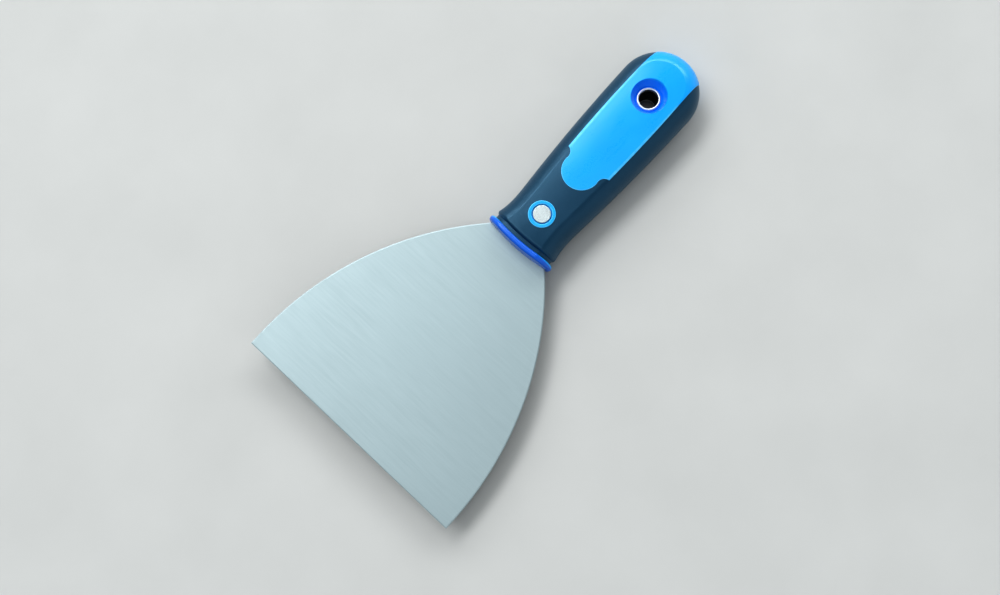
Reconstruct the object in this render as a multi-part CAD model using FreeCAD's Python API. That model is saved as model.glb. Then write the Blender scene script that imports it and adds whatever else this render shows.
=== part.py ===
import FreeCAD, Part
import math
import os
from FreeCAD import Vector

# A flexible putty knife. It is drawn from its working edge: X runs from the edge to the butt of the
# handle, Y across the blade, Z through the thickness with the blade's middle plane at zero. Every
# piece is moved at the end, so that the origin is under the middle of the knife, on the surface
# that it lies on.

LENGTH = 234.6                # working edge to butt
HALF_THICK = 11.7             # blade plane to the highest point of the handle

# Blade and tang
BLADE_WIDTH = 125.0
BLADE_STRAIGHT = 5.0          # short parallel stretch behind the working edge
BLADE_SIDE_R = 160.0          # the fan's side arcs
EDGE_THICK = 0.5
ROOT_THICK = 0.9
TAPER_END = 105.0             # the blade is ground thinner from here to the edge
SHOULDER_X = 118.2
TANG_HALF = 11.0
TANG_END = 153.0
TANG_CORNER_R = 4.0
CLEARANCE = 0.05              # round the tang, the pegs and the rivet

# Handle body at the soft grip's surface
PROUD = 0.25                  # the hard plastic stands this much above the soft grip
SKIN = 2.4                    # thickness of the soft grip
BUTT_R = 19.8                 # the butt is turned about an upright axis, at the widest section
BUTT_X = LENGTH - PROUD - BUTT_R
BUTT_HEIGHT = HALF_THICK - PROUD
WAIST = 5.6e-4                # half width lost per square millimetre of distance from the butt axis
WAIST_HEIGHT = 1.4e-4
FLARE_FROM = 143.0            # the grip flares from here to the flange
FLARE_TO = 118.0
FLARE = 4.9
FLARE_HEIGHT = 1.5
STATION_STEP = 8.0            # between the loft's sections
CROWN_R = 90.0
CROWN_SIDE = 0.69             # from the crown's edge to the handle's side, per half thickness
SHOULDER_R = 2.0              # soft edge between the crown and the flank

# Front flange, and the groove between it and the grip
FLANGE_FRONT = 115.5
FLANGE_REAR = 118.4
GRIP_FRONT = 120.3
BOW_R = 90.0                  # these faces are bowed towards the blade
FLANGE_HALF = (18.8, HALF_THICK)
FLANGE_EDGE_R = 1.35
GROOVE_HALF = (16.6, 9.5)
LIP_EDGE_R = 1.6

# Blue panel, seen from above
PANEL_SHOULDER = (166.0, 12.4)
PANEL_WIDEST = (196.0, 13.1)
PANEL_REAR = (LENGTH + 4.0, 12.0)
LOBE_X = 161.0
LOBE_R = 9.3
NOTCH_CENTRE = (162.3, 12.9)
NOTCH_R = 3.7
NOTCH_MID_ANGLE = math.radians(-57.0)
BORDER_R = 0.45               # soft edge all round the panel

# Rivet, in a raised ring on each side
RIVET_X = 134.0
RING_R = 6.4
RING_TOP = 11.1
RING_EDGE_R = 0.45
RECESS_R = 4.7
RECESS_FLOOR = 9.7
HEAD_R = 4.2
HEAD_TOP = 11.2
HEAD_EDGE_R = 0.35
POST_R = 2.3
POST_END = -6.0
TUBE_R = 3.2
TUBE_TOP = 7.0
TUBE_FLOOR = -8.5

# Hanging hole: a dish on each side, lined by an eyelet that is clinched over a washer below
HANG_X = 207.7
DISH_RIM_R = 8.4
DISH_LIP_R = 0.6
DISH_FLOOR_R = 6.1
DISH_FLOOR = 6.9
BORE_R = 4.45
EYELET_R = 4.85
ROLL_R = 0.6                  # the rolled ring's section radius above, and the clinch's below
ROLL_SEAT = 0.4
CLINCH_R = 0.5
WASHER_R = 5.95
WASHER_THICK = 0.6

# Inside of the core: hollow pockets on both sides of a middle rib that carries the pegs
POCKETS = ((157.5, 174.0, 9.5), (177.0, 194.0, 10.5))
RIB_HALF = 3.0
POCKET_TOP = 8.0
POCKET_CORNER_R = 1.5
PEG_R = 2.0
PEG_HEIGHT = 3.5
PEGS = (148.0, 165.7, 185.5, 222.5)
TANG_PEG = PEGS[0]

WIDE = 200.0                  # larger than the knife, for cutting tools


def arc(a, b, c):
    """Arc from a to c through b."""
    return Part.Arc(Vector(*a), Vector(*b), Vector(*c)).toShape()


def line(a, b):
    return Part.LineSegment(Vector(*a), Vector(*b)).toShape()


def wire(edges):
    return Part.Wire(Part.__sortEdges__(edges))


def prism(edges, low, high):
    """Upright prism between two heights, from edges drawn in the XY plane."""
    face = Part.Face(wire(edges))
    face.translate(Vector(0, 0, low))
    return face.extrude(Vector(0, 0, high - low))


def slab(x0, x1, y0, y1, z0, z1):
    return Part.makeBox(x1 - x0, y1 - y0, z1 - z0, Vector(x0, y0, z0))


def rod(x, radius, z0, z1):
    return Part.makeCylinder(radius, z1 - z0, Vector(x, 0, z0))


def turned(x, edges):
    """Solid of revolution about an upright axis at x, from a section drawn right of Z."""
    face = Part.Face(wire(edges))
    face.translate(Vector(x, 0, 0))
    return face.revolve(Vector(x, 0, 0), Vector(0, 0, 1), 360)


def flipped(solid):
    """The same solid below the blade plane."""
    return solid.mirror(Vector(0, 0, 0), Vector(0, 0, 1))


def round_rims(solid, radius, height):
    """Rounds the edges that lie flat at one height."""
    rims = [e for e in solid.Edges if abs(e.BoundBox.ZMin - height) + abs(e.BoundBox.ZMax - height) < 0.01]
    return solid.makeFillet(radius, rims)


def quarter(half_w, half_h):
    """Points of one quarter of a handle section: a crown arc, a tight shoulder arc and a flank arc
    that is upright at the blade plane, each tangent to the next."""
    tilt = math.asin((half_w - CROWN_SIDE * half_h) / CROWN_R)
    crown_z = half_h - CROWN_R
    centre_y = (CROWN_R - SHOULDER_R) * math.sin(tilt)
    centre_z = crown_z + (CROWN_R - SHOULDER_R) * math.cos(tilt)
    lean = math.pi / 2 - 2 * math.atan((half_w - centre_y - SHOULDER_R) / centre_z)
    mid = (tilt + lean) / 2
    return {
        "top": (0.0, half_h),
        "crown_mid": (CROWN_R * math.sin(tilt / 2), crown_z + CROWN_R * math.cos(tilt / 2)),
        "crown_end": (CROWN_R * math.sin(tilt), crown_z + CROWN_R * math.cos(tilt)),
        "shoulder_mid": (centre_y + SHOULDER_R * math.sin(mid), centre_z + SHOULDER_R * math.cos(mid)),
        "flank_start": (centre_y + SHOULDER_R * math.sin(lean), centre_z + SHOULDER_R * math.cos(lean)),
        "side": (half_w, 0.0),
    }


def side_edges(x, points, side):
    """Both shoulders and the flank on one side of a handle section."""
    def at(name, up):
        y, z = points[name]
        return x, side * y, up * z

    edges = [arc(at("flank_start", 1), at("side", 1), at("flank_start", -1))]
    for up in (1, -1):
        edges.append(arc(at("crown_end", up), at("shoulder_mid", up), at("flank_start", up)))
    return edges


def section(x, half_w, half_h):
    """Closed handle section across the knife at x."""
    points = quarter(half_w, half_h)
    edges = side_edges(x, points, 1) + side_edges(x, points, -1)
    y, z = points["crown_end"]
    for up in (1, -1):
        edges.append(arc((x, -y, up * z), (x, 0, up * half_h), (x, y, up * z)))
    return wire(edges)


def half_section(x, half_w, half_h):
    """The +Y half of a handle section as a face."""
    points = quarter(half_w, half_h)
    edges = side_edges(x, points, 1)
    edges.append(line((x, 0, -half_h), (x, 0, half_h)))
    for up in (1, -1):
        path = [(x, points[name][0], up * points[name][1]) for name in ("top", "crown_mid", "crown_end")]
        edges.append(arc(*path))
    return Part.Face(wire(edges))


def half_size(x, grow):
    """Half width and half thickness of the handle at x, grow larger than the soft grip."""
    back = (BUTT_X - x) ** 2
    flare = max(0.0, (FLARE_FROM - x) / (FLARE_FROM - FLARE_TO)) ** 3
    half_w = BUTT_R - WAIST * back + FLARE * flare
    half_h = BUTT_HEIGHT - WAIST_HEIGHT * back + FLARE_HEIGHT * flare
    return half_w + grow, half_h + grow


def handle_body(grow):
    """The handle's outer form: a loft along X up to the butt axis, then the turned butt."""
    count = round((BUTT_X - FLARE_TO) / STATION_STEP)
    step = (BUTT_X - FLARE_TO) / count
    stations = [FLARE_TO + step * i for i in range(count + 3)]
    body = Part.makeLoft([section(x, *half_size(x, grow)) for x in stations], True, False)
    body = body.common(slab(FLARE_TO, BUTT_X, -WIDE, WIDE, -WIDE, WIDE))
    half = half_section(BUTT_X, *half_size(BUTT_X, grow))
    return body.fuse(half.revolve(Vector(BUTT_X, 0, 0), Vector(0, 0, 1), -180))


def bar(half_w, half_h, front, rear):
    """Bar with a handle section between two faces that are bowed towards the blade."""
    start = front - STATION_STEP
    whole = Part.Face(section(start, half_w, half_h)).extrude(Vector(rear + 2 * STATION_STEP - start, 0, 0))
    return whole.common(bowed(front, rear))


def bowed(front, rear):
    """Everything between two plan arcs, at front and rear on the axis."""
    half = 2 * BUTT_R
    sag = BOW_R - math.sqrt(BOW_R ** 2 - half ** 2)
    edges = [
        arc((front + sag, -half, 0), (front, 0, 0), (front + sag, half, 0)),
        line((front + sag, half, 0), (rear + sag, half, 0)),
        arc((rear + sag, half, 0), (rear, 0, 0), (rear + sag, -half, 0)),
        line((rear + sag, -half, 0), (front + sag, -half, 0)),
    ]
    return prism(edges, -WIDE, WIDE)


def panel_outline():
    """The blue panel's outline: a round lobe, notched shoulders and long, slightly bulging sides."""
    notch_x = NOTCH_CENTRE[0] + NOTCH_R * math.cos(NOTCH_MID_ANGLE)
    notch_y = NOTCH_CENTRE[1] + NOTCH_R * math.sin(NOTCH_MID_ANGLE)
    rear_x, rear_y = PANEL_REAR
    edges = [
        arc((LOBE_X, LOBE_R, 0), (LOBE_X - LOBE_R, 0, 0), (LOBE_X, -LOBE_R, 0)),
        line((rear_x, -rear_y, 0), (rear_x, rear_y, 0)),
    ]
    for side in (1, -1):
        shoulder = (PANEL_SHOULDER[0], side * PANEL_SHOULDER[1], 0)
        widest = (PANEL_WIDEST[0], side * PANEL_WIDEST[1], 0)
        edges.append(arc((LOBE_X, side * LOBE_R, 0), (notch_x, side * notch_y, 0), shoulder))
        edges.append(arc(shoulder, widest, (rear_x, side * rear_y, 0)))
    return prism(edges, -WIDE, WIDE)


def upright(face):
    """True for a wall that stands square to the blade plane."""
    u0, u1, v0, v1 = face.ParameterRange
    samples = [(u0 + (u1 - u0) * i / 4, v0 + (v1 - v0) * j / 4) for i in (1, 3) for j in (1, 3)]
    return all(abs(face.normalAt(u, v).z) < 1e-4 for u, v in samples)


def panel():
    """Both blue panels and the butt in one, with a soft edge where the soft grip meets them."""
    solid = handle_body(PROUD).common(panel_outline())
    border = []
    for edge in solid.Edges:
        walls = [upright(face) for face in solid.ancestorsOfType(edge, Part.Face)]
        if walls.count(True) == 1:
            border.append(edge)
    return solid.makeFillet(BORDER_R, border)


def blade():
    """Fan blade with shoulders and a tang, ground thinner towards its working edge."""
    half = BLADE_WIDTH / 2

    def on_side(x, side):
        reach = math.sqrt(BLADE_SIDE_R ** 2 - (x - BLADE_STRAIGHT) ** 2)
        return x, side * (half - BLADE_SIDE_R + reach), 0

    edges = [
        line((0, -half, 0), (0, half, 0)),
        line((TANG_END, TANG_HALF, 0), (TANG_END, -TANG_HALF, 0)),
    ]
    for side in (1, -1):
        start = (BLADE_STRAIGHT, side * half, 0)
        shoulder = on_side(SHOULDER_X, side)
        tang_root = (SHOULDER_X, side * TANG_HALF, 0)
        edges.append(line((0, side * half, 0), start))
        edges.append(arc(start, on_side((BLADE_STRAIGHT + SHOULDER_X) / 2, side), shoulder))
        edges.append(line(shoulder, tang_root))
        edges.append(line(tang_root, (TANG_END, side * TANG_HALF, 0)))
    plan = prism(edges, -ROOT_THICK, ROOT_THICK)
    corners = [e for e in plan.Edges if e.BoundBox.XMin > TANG_END - 0.01 and e.BoundBox.YLength < 0.01]
    plan = plan.makeFillet(TANG_CORNER_R, corners)
    profile = []
    for up in (1, -1):
        profile.append(line((0, 0, up * EDGE_THICK / 2), (TAPER_END, 0, up * ROOT_THICK / 2)))
        profile.append(line((TAPER_END, 0, up * ROOT_THICK / 2), (TANG_END, 0, up * ROOT_THICK / 2)))
    profile.append(line((0, 0, -EDGE_THICK / 2), (0, 0, EDGE_THICK / 2)))
    profile.append(line((TANG_END, 0, -ROOT_THICK / 2), (TANG_END, 0, ROOT_THICK / 2)))
    thickness = Part.Face(wire(profile))
    thickness.translate(Vector(0, -WIDE / 2, 0))
    steel = plan.common(thickness.extrude(Vector(0, WIDE, 0)))
    steel = steel.cut(rod(RIVET_X, TUBE_R + CLEARANCE, -ROOT_THICK, ROOT_THICK))
    return steel.cut(rod(TANG_PEG, PEG_R + CLEARANCE, -ROOT_THICK, ROOT_THICK))


def core_outside():
    """Inner core, neck, flange, panels, butt and rivet rings, as the soft grip is moulded round it."""
    inner = handle_body(-SKIN).common(bowed(GRIP_FRONT + SKIN, 2 * LENGTH))
    neck_w, neck_h = GROOVE_HALF
    neck = bar(neck_w - SKIN, neck_h - SKIN, FLANGE_REAR - 1.0, GRIP_FRONT + 2 * SKIN)
    flange = bar(*FLANGE_HALF, FLANGE_FRONT, FLANGE_REAR)
    rims = [e for e in flange.Edges if e.BoundBox.YLength + e.BoundBox.ZLength > 0.5]
    flange = flange.makeFillet(FLANGE_EDGE_R, rims)
    ring = rod(RIVET_X, RING_R, 0, RING_TOP).cut(rod(RIVET_X, RECESS_R, RECESS_FLOOR, RING_TOP))
    ring = round_rims(ring, RING_EDGE_R, RING_TOP)
    return inner.fuse([neck, flange, panel(), ring, flipped(ring)])


def slot():
    """Room for the blade's root and tang between the two halves of the core."""
    gap = ROOT_THICK / 2 + CLEARANCE
    root_half = FLANGE_HALF[0] - 1.4
    root = slab(FLANGE_FRONT - 1.0, SHOULDER_X + CLEARANCE, -root_half, root_half, -gap, gap)
    tang_half = TANG_HALF + CLEARANCE
    return root.fuse(slab(SHOULDER_X, TANG_END + CLEARANCE, -tang_half, tang_half, -gap, gap))


def dish():
    """The hanging hole's dish above the blade plane, with a rounded lip, and its through hole."""
    slope = math.atan2(DISH_RIM_R - DISH_FLOOR_R, HALF_THICK - DISH_FLOOR)
    lip_x = DISH_RIM_R + DISH_LIP_R
    top = (lip_x, 0, HALF_THICK)
    lip_mid_angle = (math.pi / 2 + slope) / 2
    lip_mid = (lip_x - DISH_LIP_R * math.sin(lip_mid_angle),
               0, HALF_THICK - DISH_LIP_R * (1 - math.cos(lip_mid_angle)))
    lip_end = (lip_x - DISH_LIP_R * math.cos(slope), 0, HALF_THICK - DISH_LIP_R * (1 - math.sin(slope)))
    edges = [
        line((0, 0, 0), (0, 0, HALF_THICK + 1)),
        line((0, 0, HALF_THICK + 1), (lip_x, 0, HALF_THICK + 1)),
        line((lip_x, 0, HALF_THICK + 1), top),
        arc(top, lip_mid, lip_end),
        line(lip_end, (DISH_FLOOR_R, 0, DISH_FLOOR)),
        line((DISH_FLOOR_R, 0, DISH_FLOOR), (EYELET_R, 0, DISH_FLOOR)),
        line((EYELET_R, 0, DISH_FLOOR), (EYELET_R, 0, 0)),
        line((EYELET_R, 0, 0), (0, 0, 0)),
    ]
    return turned(HANG_X, edges)


def pockets():
    """Hollows above the blade plane, two on each side of the middle rib."""
    hollows = []
    for x0, x1, half_w in POCKETS:
        for y0, y1 in ((RIB_HALF, half_w), (-half_w, -RIB_HALF)):
            hollow = slab(x0, x1, y0, y1, 0, POCKET_TOP)
            upright = [e for e in hollow.Edges if e.BoundBox.ZLength > POCKET_TOP / 2]
            hollows.append(hollow.makeFillet(POCKET_CORNER_R, upright))
    return hollows


def core_halves(whole):
    """The hollowed upper half with sockets and the lower half with pegs."""
    tools = [slot(), rod(RIVET_X, TUBE_R + CLEARANCE, -HALF_THICK, HALF_THICK)]
    for tool in [dish()] + pockets():
        tools += [tool, flipped(tool)]
    hollowed = whole.cut(tools)
    upper = hollowed.common(slab(0, 2 * LENGTH, -WIDE, WIDE, 0, WIDE))
    lower = hollowed.common(slab(0, 2 * LENGTH, -WIDE, WIDE, -WIDE, 0))
    upper = upper.cut([rod(x, PEG_R + CLEARANCE, 0, PEG_HEIGHT + CLEARANCE) for x in PEGS])
    lower = lower.fuse([rod(x, PEG_R, -PEG_HEIGHT, PEG_HEIGHT) for x in PEGS])
    return upper, lower


def grip():
    """Soft sleeve: windows for the panels, the butt and the rivet rings, a groove at its front."""
    front = bowed(GRIP_FRONT, 2 * LENGTH)
    body = handle_body(0).common(front)
    lip = [e for e in body.Edges if e.BoundBox.XMax < GRIP_FRONT + 4.0]
    body = body.makeFillet(LIP_EDGE_R, lip)
    band = bar(*GROOVE_HALF, FLANGE_REAR, GRIP_FRONT + SKIN)
    neck_w, neck_h = GROOVE_HALF
    neck = bar(neck_w - SKIN, neck_h - SKIN, FLANGE_REAR - 1.0, GRIP_FRONT + 2 * SKIN)
    inner = handle_body(-SKIN).common(bowed(GRIP_FRONT + SKIN, 2 * LENGTH))
    ring_hole = rod(RIVET_X, RING_R, -HALF_THICK, HALF_THICK)
    return body.fuse(band).cut([neck, inner, panel_outline(), ring_hole])


def rivet_post():
    """Upper rivet half: a round head and a solid shank."""
    head = round_rims(rod(RIVET_X, HEAD_R, RECESS_FLOOR, HEAD_TOP), HEAD_EDGE_R, HEAD_TOP)
    return head.fuse(rod(RIVET_X, POST_R, POST_END, RECESS_FLOOR))


def rivet_socket():
    """Lower rivet half: a round head and a tube that the post is pressed into."""
    head = flipped(round_rims(rod(RIVET_X, HEAD_R, RECESS_FLOOR, HEAD_TOP), HEAD_EDGE_R, HEAD_TOP))
    tube = head.fuse(rod(RIVET_X, TUBE_R, -RECESS_FLOOR, TUBE_TOP))
    return tube.cut(rod(RIVET_X, POST_R, TUBE_FLOOR, TUBE_TOP))


def hang_eyelet():
    """Steel tube with a rolled ring above and its lower end clinched outwards over the washer."""
    seat = DISH_FLOOR + ROLL_SEAT
    clinch = -DISH_FLOOR - WASHER_THICK
    edges = [
        line((BORE_R, 0, clinch), (BORE_R, 0, seat)),
        arc((BORE_R, 0, seat), (BORE_R + ROLL_R, 0, seat + ROLL_R), (BORE_R + 2 * ROLL_R, 0, seat)),
        line((BORE_R + 2 * ROLL_R, 0, seat), (BORE_R + 2 * ROLL_R, 0, DISH_FLOOR)),
        line((BORE_R + 2 * ROLL_R, 0, DISH_FLOOR), (EYELET_R, 0, DISH_FLOOR)),
        line((EYELET_R, 0, DISH_FLOOR), (EYELET_R, 0, clinch)),
        line((EYELET_R, 0, clinch), (BORE_R + 2 * CLINCH_R, 0, clinch)),
        arc((BORE_R + 2 * CLINCH_R, 0, clinch), (BORE_R + CLINCH_R, 0, clinch - CLINCH_R),
            (BORE_R, 0, clinch)),
    ]
    return turned(HANG_X, edges)


def eyelet_washer():
    disc = rod(HANG_X, WASHER_R, -DISH_FLOOR - WASHER_THICK, -DISH_FLOOR)
    return disc.cut(rod(HANG_X, EYELET_R, -DISH_FLOOR - WASHER_THICK, -DISH_FLOOR))


def main():
    os.makedirs("parts", exist_ok=True)
    upper, lower = core_halves(core_outside())
    pieces = {
        "blade": blade(),
        "core_upper": upper,
        "core_lower": lower,
        "grip_overmould": grip(),
        "rivet_post": rivet_post(),
        "rivet_socket": rivet_socket(),
        "hang_eyelet": hang_eyelet(),
        "eyelet_washer": eyelet_washer(),
    }
    for name, shape in pieces.items():
        solid = max(shape.Solids, key=lambda s: s.Volume)
        solid.translate(Vector(-LENGTH / 2, 0, HALF_THICK))
        solid.exportStep("parts/%s.step" % name)


main()
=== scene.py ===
import math

import bmesh
import bpy
from mathutils import Euler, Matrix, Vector


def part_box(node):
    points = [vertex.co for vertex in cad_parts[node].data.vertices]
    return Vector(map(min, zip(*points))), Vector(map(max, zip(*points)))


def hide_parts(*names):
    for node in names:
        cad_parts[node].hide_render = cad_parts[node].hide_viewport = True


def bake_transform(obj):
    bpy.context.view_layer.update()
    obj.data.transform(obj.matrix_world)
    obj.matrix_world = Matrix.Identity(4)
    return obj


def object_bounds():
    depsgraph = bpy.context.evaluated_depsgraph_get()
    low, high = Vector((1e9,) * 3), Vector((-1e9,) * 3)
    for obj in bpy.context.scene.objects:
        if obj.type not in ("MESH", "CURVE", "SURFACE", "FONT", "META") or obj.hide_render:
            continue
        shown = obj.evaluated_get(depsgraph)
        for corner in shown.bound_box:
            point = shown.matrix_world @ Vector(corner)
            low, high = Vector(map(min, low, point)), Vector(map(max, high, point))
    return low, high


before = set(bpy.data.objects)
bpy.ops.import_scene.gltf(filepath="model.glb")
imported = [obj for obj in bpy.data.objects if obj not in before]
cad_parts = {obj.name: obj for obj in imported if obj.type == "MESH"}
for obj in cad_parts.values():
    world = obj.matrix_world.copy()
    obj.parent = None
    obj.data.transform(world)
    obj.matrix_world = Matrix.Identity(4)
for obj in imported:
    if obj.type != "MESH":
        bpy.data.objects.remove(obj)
cad_low, cad_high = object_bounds()

MM = 0.001

# Places on the knife, in the row frame, in metres
blade_low, blade_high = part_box("blade")
rivet_low, rivet_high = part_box("rivet_post")
eyelet_low, eyelet_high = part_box("hang_eyelet")
core_low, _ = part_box("core_upper")
EDGE_X = blade_low.x
MID_Z = core_low.z                    # the blade plane, where the core's halves meet
RIVET = (rivet_low + rivet_high) / 2
EYELET = (eyelet_low + eyelet_high) / 2
RING_FRONT = RIVET.x - 6.6 * MM       # front of the blue ring round the rivet
FLANGE_BACK = core_low.x + 3.2 * MM   # back of the bead at the handle's front
DISH_INNER = 8.0 * MM                 # the dish's painted shade fades out between these radii
DISH_OUTER = 8.5 * MM
BORE_R = 4.5 * MM                     # just past the wall of the eyelet's bore

# The blade's sheet
STRIPS = 90                           # enough for a smooth bend
ROLL_WIDTH = 0.5 * MM                 # the rolled-over outline
ROLL_DEPTH = 0.10 * MM
SOFT_EDGE = 0.07 * MM

# The camera, from the middle of the knife
VIEW_FROM = Vector((-0.0504, -0.0752, 0.4371))
VIEW_TURN = (8.263, 3.955, -47.653)   # in degrees
LENS = 34.49                          # in mm, on a 36 mm sensor


# ---------------------------------------------------------------- materials

class Surface:
    """A Principled material and short ways to add procedural detail to it."""

    def __init__(self, name, **constants):
        self.material = bpy.data.materials.new(name)
        self.material.use_nodes = True
        self.tree = self.material.node_tree
        self.shader = self.tree.nodes["Principled BSDF"]
        for socket, value in constants.items():
            self.shader.inputs[socket.replace("_", " ")].default_value = value
        self.place = self.node("ShaderNodeTexCoord").outputs["Object"]
        self.bumps = None

    def node(self, kind, **settings):
        made = self.tree.nodes.new(kind)
        for key, value in settings.items():
            setattr(made, key, value)
        return made

    def link(self, source, target):
        self.tree.links.new(source, target)

    def math(self, operation, *values):
        """A Math node: each value is a number or another node's output."""
        made = self.node("ShaderNodeMath", operation=operation)
        for socket, value in zip(made.inputs, values):
            if isinstance(value, (int, float)):
                socket.default_value = value
            else:
                self.link(value, socket)
        return made.outputs[0]

    def stretched(self, scale, at=(0, 0, 0)):
        """Coordinates about a point, stretched so that streaks run along the small axes."""
        made = self.node("ShaderNodeMapping")
        made.inputs["Scale"].default_value = scale
        made.inputs["Location"].default_value = [-a * s for a, s in zip(at, scale)]
        self.link(self.place, made.inputs["Vector"])
        return made.outputs[0]

    def noise(self, size, detail, roughness, vector=None, distortion=0.0):
        """Noise whose blobs are about size metres across."""
        made = self.node("ShaderNodeTexNoise")
        made.inputs["Scale"].default_value = 1 / size
        made.inputs["Detail"].default_value = detail
        made.inputs["Roughness"].default_value = roughness
        made.inputs["Distortion"].default_value = distortion
        self.link(vector or self.place, made.inputs["Vector"])
        return made.outputs["Fac"]

    def spread(self, value, low, high, from_low=0.3, from_high=0.7):
        """Maps a value onto low to high, clamped."""
        made = self.node("ShaderNodeMapRange")
        for socket, number in zip(("From Min", "From Max", "To Min", "To Max"),
                                  (from_low, from_high, low, high)):
            made.inputs[socket].default_value = number
        self.link(value, made.inputs["Value"])
        return made.outputs[0]

    def mix(self, factor, first, second):
        """Colour mix: each colour is a tuple or another node's output."""
        made = self.node("ShaderNodeMix", data_type="RGBA")
        self.link(factor, made.inputs[0])
        for socket, value in zip((made.inputs[6], made.inputs[7]), (first, second)):
            if isinstance(value, tuple):
                socket.default_value = (*value, 1)
            else:
                self.link(value, socket)
        return made.outputs[2]

    def bump(self, height, depth):
        """Adds a layer of relief that is depth metres high."""
        made = self.node("ShaderNodeBump")
        made.inputs["Strength"].default_value = 1.0
        made.inputs["Distance"].default_value = depth
        self.link(height, made.inputs["Height"])
        if self.bumps:
            self.link(self.bumps, made.inputs["Normal"])
        self.bumps = made.outputs[0]
        self.link(self.bumps, self.shader.inputs["Normal"])

    def colour(self, value):
        self.link(value, self.shader.inputs["Base Color"])

    def roughness(self, value):
        self.link(value, self.shader.inputs["Roughness"])

    def from_axis(self, centre):
        """Distance in metres from an upright axis through a point."""
        made = self.node("ShaderNodeVectorMath", operation="LENGTH")
        self.link(self.stretched((1, 1, 0), (centre.x, centre.y, 0)), made.inputs[0])
        return made.outputs["Value"]

    def axis_value(self, axis):
        """One coordinate in metres."""
        made = self.node("ShaderNodeSeparateXYZ")
        self.link(self.place, made.inputs[0])
        return made.outputs[axis]

    def upright(self):
        """How far the surface faces up or down: 1 on a level face and 0 on an upright one."""
        made = self.node("ShaderNodeSeparateXYZ")
        self.link(self.node("ShaderNodeTexCoord").outputs["Normal"], made.inputs[0])
        return self.math("ABSOLUTE", made.outputs[2])


def blade_steel():
    """Ground spring steel: fine grinding lines across the blade and faint clouding."""
    steel = Surface("blade_steel", Metallic=1.0)
    lines = steel.noise(0.9 * MM, 4.0, 0.6, steel.stretched((1.0, 0.05, 1.0)))
    grain = steel.noise(0.35 * MM, 2.0, 0.6)
    clouds = steel.noise(45 * MM, 3.0, 0.5, distortion=0.4)
    tone = steel.mix(steel.spread(clouds, 0, 1), (0.360, 0.437, 0.456), (0.380, 0.461, 0.480))
    tone = steel.mix(steel.spread(lines, 0.0, 0.35), tone, (0.330, 0.402, 0.422))
    steel.colour(tone)
    steel.roughness(steel.math("ADD", steel.spread(clouds, 0.50, 0.54), steel.spread(lines, -0.02, 0.02)))
    steel.bump(lines, 0.006 * MM)
    steel.bump(grain, 0.004 * MM)
    return steel.material


def blue_plastic():
    """Satin moulded polypropylene, with a painted highlight along its turned-down edges and painted shade
    in the dish and on the flange.
    """
    blue = Surface("blue_plastic", Specular_IOR_Level=0.85, Specular_Tint=(0.75, 0.92, 1.0, 1))
    clouds = blue.noise(22 * MM, 2.0, 0.5)
    skin = blue.noise(0.28 * MM, 3.0, 0.55)
    flow = blue.noise(5 * MM, 3.0, 0.6, blue.stretched((0.35, 1.0, 1.0)))
    tone = blue.mix(blue.spread(clouds, 0, 1), (0.004, 0.385, 0.93), (0.006, 0.415, 0.98))
    from_hole = blue.from_axis(EYELET)
    x = blue.axis_value(0)
    # Painted shade: the dish's walls get a deeper blue that stands in for the shade inside the hollow.
    painted_dish_shade = blue.spread(from_hole, 1, 0, DISH_INNER, DISH_OUTER)
    tone = blue.mix(painted_dish_shade, tone, (0.003, 0.25, 1.0))
    # Painted shade: the flange's bead gets a deeper blue that stands in for the shade on its sides and in
    # the groove behind it.
    painted_flange_shade = blue.spread(x, 1, 0, FLANGE_BACK, FLANGE_BACK + 0.5 * MM)
    tone = blue.mix(painted_flange_shade, tone, (0.003, 0.13, 0.66))
    # The panel's border and the rivet ring turn down over a few tenths of a millimetre.
    tilt = blue.spread(blue.upright(), 1, 0, 0.92, 0.975)
    behind_flange = blue.spread(x, 0, 1, RING_FRONT - 1 * MM, RING_FRONT)
    before_butt = blue.spread(x, 1, 0, EYELET.x + 3 * MM, EYELET.x + 7 * MM)
    outside_dish = blue.spread(from_hole, 0, 1, DISH_OUTER + 0.5 * MM, DISH_OUTER + 0.9 * MM)
    # Painted highlight: a pale cyan line along the turned-down border of the panel and the rivet ring,
    # standing in for light caught on those edges.
    painted_edge_highlight = blue.math("MULTIPLY", blue.math("MULTIPLY", tilt, behind_flange),
                    blue.math("MULTIPLY", before_butt, outside_dish))
    patchy = blue.spread(blue.noise(3 * MM, 3.0, 0.6), 0.45, 0.95)
    tone = blue.mix(blue.math("MULTIPLY", painted_edge_highlight, patchy), tone, (0.16, 0.68, 1.0))
    blue.colour(tone)
    blue.roughness(blue.math("ADD", blue.spread(flow, 0.27, 0.33), blue.spread(skin, -0.03, 0.03)))
    blue.bump(skin, 0.005 * MM)
    return blue.material


def navy_grip():
    """Soft-touch elastomer: fine spark-eroded texture and faint handling marks."""
    navy = Surface("navy_grip", Specular_IOR_Level=1.0, Specular_Tint=(0.40, 0.74, 1.0, 1),
                   Sheen_Weight=0.05, Sheen_Roughness=0.45, Sheen_Tint=(0.3, 0.8, 1.0, 1))
    texture = navy.noise(0.40 * MM, 4.0, 0.6)
    marks = navy.noise(9 * MM, 4.0, 0.6, navy.stretched((0.4, 1.0, 1.0)))
    tone = navy.mix(navy.spread(marks, 0, 1), (0.005, 0.035, 0.071), (0.008, 0.043, 0.085))
    navy.colour(tone)
    navy.roughness(navy.math("ADD", navy.spread(marks, 0.34, 0.39), navy.spread(texture, -0.04, 0.04)))
    navy.bump(texture, 0.06 * MM)
    return navy.material


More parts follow.
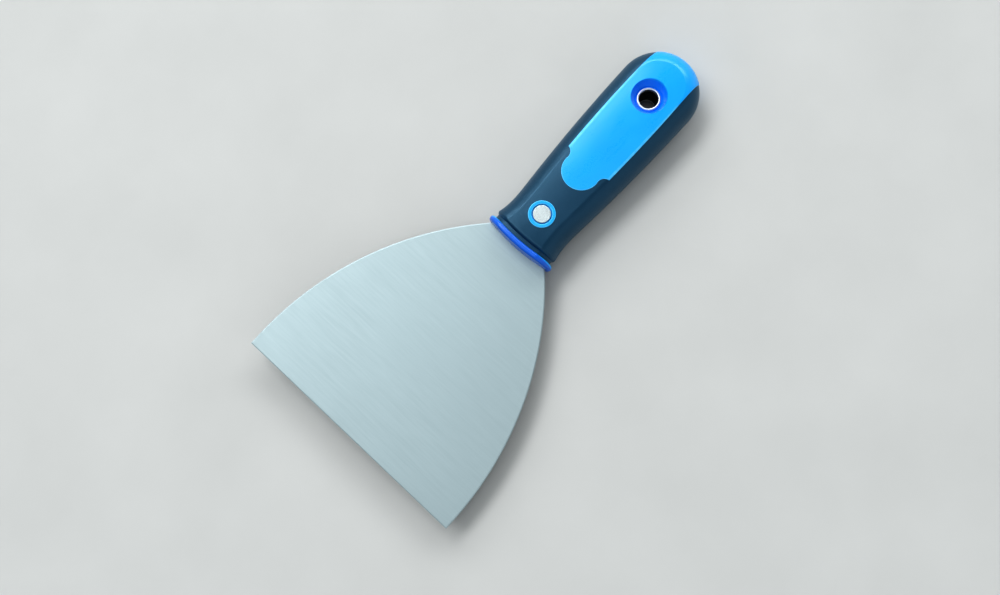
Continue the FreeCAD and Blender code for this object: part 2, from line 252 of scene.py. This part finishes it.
def rivet_steel():
    """Turned head: fine rings about the rivet's axis."""
    steel = Surface("rivet_steel", Metallic=1.0)
    radius = steel.from_axis(RIVET)
    ring_spacing = 0.32 * MM
    rings = steel.math("SINE", steel.math("MULTIPLY", radius, 2 * math.pi / ring_spacing))
    grain = steel.noise(0.5 * MM, 4.0, 0.7)
    tone = steel.mix(steel.spread(grain, 0, 1), (0.40, 0.45, 0.46), (0.62, 0.69, 0.70))
    steel.colour(tone)
    steel.roughness(steel.spread(grain, 0.34, 0.50))
    steel.bump(rings, 0.004 * MM)
    steel.bump(grain, 0.02 * MM)
    return steel.material


def eyelet_steel():
    """Bright plated eyelet with patchy wear, and painted shade darkening its bore."""
    steel = Surface("eyelet_steel", Metallic=1.0)
    wear = steel.noise(1.2 * MM, 4.0, 0.6)
    tone = steel.mix(steel.spread(wear, 0, 1), (0.66, 0.68, 0.70), (0.82, 0.84, 0.85))
    depth = steel.math("ABSOLUTE", steel.math("SUBTRACT", steel.axis_value(2), MID_Z))
    inside = steel.spread(steel.from_axis(EYELET), 1, 0, BORE_R, BORE_R + 0.15 * MM)
    below_ring = steel.spread(depth, 1, 0, 5.2 * MM, 6.2 * MM)
    # Painted shade: the bore below the rolled ring is made near black, standing in for the shade down the
    # hole.
    painted_bore_shade = steel.math("MULTIPLY", inside, below_ring)
    steel.colour(steel.mix(painted_bore_shade, tone, (0.035, 0.035, 0.04)))
    steel.roughness(steel.spread(wear, 0.34, 0.50))
    steel.bump(wear, 0.006 * MM)
    return steel.material


def floor_paint():
    pale = Surface("floor_paint", Specular_IOR_Level=0.2)
    mottle = pale.noise(60 * MM, 4.0, 0.5)
    pale.colour(pale.mix(pale.spread(mottle, 0, 1), (0.54, 0.55, 0.54), (0.57, 0.58, 0.57)))
    pale.roughness(pale.spread(mottle, 0.75, 0.85))
    return pale.material


# ---------------------------------------------------------------- pieces

def new_piece(name, mesh, material):
    piece = bpy.data.objects.new(name, mesh)
    bpy.context.scene.collection.objects.link(piece)
    mesh.materials.clear()
    mesh.materials.append(material)
    return piece


def bending_blade(material):
    """The blade's steel with a rolled outline and soft edges, cut into strips that bend smoothly."""
    form = bmesh.new()
    form.from_mesh(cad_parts["blade"].data)
    bmesh.ops.remove_doubles(form, verts=form.verts, dist=0.002 * MM)
    flat = math.radians(0.05)
    bmesh.ops.dissolve_limit(form, angle_limit=flat, verts=form.verts, edges=form.edges)
    # The stamped outline is rolled over slightly on both faces, which catches the light.
    for side in (1, -1):
        sheet = [face for face in form.faces if face.normal.z * side > 0.9]
        roll = bmesh.ops.inset_region(form, faces=sheet, thickness=ROLL_WIDTH, use_even_offset=True)
        inner = {vert for face in sheet for vert in face.verts}
        outer = {vert for face in roll["faces"] for vert in face.verts} - inner
        for vert in outer:
            vert.co.z -= side * ROLL_DEPTH
    steep = math.radians(60)
    rim = [edge for edge in form.edges if edge.calc_face_angle(0) > steep]
    bmesh.ops.bevel(form, geom=rim, offset=SOFT_EDGE, segments=2, affect="EDGES", clamp_overlap=True)
    length = blade_high.x - blade_low.x
    for i in range(1, STRIPS):
        cut = Vector((EDGE_X + length * i / STRIPS, 0, 0))
        everything = form.verts[:] + form.edges[:] + form.faces[:]
        bmesh.ops.bisect_plane(form, geom=everything, plane_co=cut, plane_no=(1, 0, 0), dist=0.001 * MM)
    for face in form.faces:
        face.smooth = True
    mesh = bpy.data.meshes.new("blade_sheet")
    form.to_mesh(mesh)
    form.free()
    # The shape has changed since these normals were made.
    mesh.attributes.remove(mesh.attributes["custom_normal"])
    mesh.set_sharp_from_angle(angle=math.radians(5))
    blade = new_piece("blade_sheet", mesh, material)
    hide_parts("blade")
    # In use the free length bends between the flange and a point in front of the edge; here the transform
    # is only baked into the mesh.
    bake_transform(blade)


def dress_cad_nodes():
    """The handle's CAD nodes keep their shape and get their finished materials."""
    blue, navy, rivet, eyelet = blue_plastic(), navy_grip(), rivet_steel(), eyelet_steel()
    finishes = {
        "core_upper": blue, "core_lower": blue, "grip_overmould": navy,
        "rivet_post": rivet, "rivet_socket": rivet, "hang_eyelet": eyelet, "eyelet_washer": eyelet,
    }
    for name, material in finishes.items():
        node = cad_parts[name]
        for place in node.material_slots:
            place.material = material


# ---------------------------------------------------------------- studio

def floor(material):
    """A wide, flat, pale floor."""
    half, rows = 3.0, 24
    form = bmesh.new()
    grid = bmesh.ops.create_grid(form, x_segments=rows, y_segments=rows, size=half)
    for vert in grid["verts"]:
        vert.co.z = cad_low.z
    mesh = bpy.data.meshes.new("studio_floor")
    form.to_mesh(mesh)
    form.free()
    new_piece("studio_floor", mesh, material)


def softbox(name, azimuth, elevation, distance, size, radiance, colour=(1, 1, 1)):
    """A lamp that faces the knife's middle. Azimuth is measured from +X towards +Y, in degrees."""
    data = bpy.data.lights.new(name, "AREA")
    data.shape = "RECTANGLE"
    data.size, data.size_y = size
    data.energy = radiance * math.pi * size[0] * size[1]
    data.color = colour
    lamp = bpy.data.objects.new(name, data)
    bpy.context.scene.collection.objects.link(lamp)
    turn, rise = math.radians(azimuth), math.radians(elevation)
    away = Vector((math.cos(turn) * math.cos(rise), math.sin(turn) * math.cos(rise), math.sin(rise)))
    lamp.location = (cad_low + cad_high) / 2 + away * distance
    lamp.rotation_euler = away.to_track_quat("Z", "Y").to_euler()


def dome():
    """A dim sky that turns pale towards the horizon."""
    world = bpy.data.worlds.new("soft_studio")
    world.use_nodes = True
    tree = world.node_tree
    place = tree.nodes.new("ShaderNodeTexCoord")
    split = tree.nodes.new("ShaderNodeSeparateXYZ")
    height = tree.nodes.new("ShaderNodeMapRange")
    height.interpolation_type = "SMOOTHSTEP"
    horizon, top = (0.05, 0.55), (0.50, 0.16)    # each a height and its brightness
    height.inputs["From Min"].default_value, height.inputs["To Min"].default_value = horizon
    height.inputs["From Max"].default_value, height.inputs["To Max"].default_value = top
    tree.links.new(place.outputs["Generated"], split.inputs[0])
    tree.links.new(split.outputs["Z"], height.inputs["Value"])
    back = tree.nodes["Background"]
    back.inputs["Color"].default_value = (0.90, 0.96, 1.0, 1)
    tree.links.new(height.outputs[0], back.inputs["Strength"])
    bpy.context.scene.world = world


def studio():
    dome()
    softbox("overhead", 207, 76, 3.2, (2.8, 2.8), 0.76, (0.97, 0.98, 1.0))
    softbox("side", 92, 57, 3.0, (2.6, 0.95), 4.7)
    softbox("window", 38, 34, 3.0, (5.0, 0.95), 3.6)
    softbox("back", -95, 30, 3.0, (6.0, 1.40), 0.45)


def camera():
    data = bpy.data.cameras.new("camera")
    data.sensor_width = 36.0
    data.lens = LENS
    data.clip_start = 0.01
    eye = bpy.data.objects.new("camera", data)
    bpy.context.scene.collection.objects.link(eye)
    middle = Vector(((cad_low.x + cad_high.x) / 2, (cad_low.y + cad_high.y) / 2, MID_Z))
    eye.location = middle + VIEW_FROM
    eye.rotation_euler = Euler([math.radians(angle) for angle in VIEW_TURN], "XYZ")
    bpy.context.scene.camera = eye


# ---------------------------------------------------------------- the scene

dress_cad_nodes()
bending_blade(blade_steel())
floor(floor_paint())
studio()
camera()
bpy.context.scene.view_settings.view_transform = "Standard"
bpy.context.scene.view_settings.look = "High Contrast"
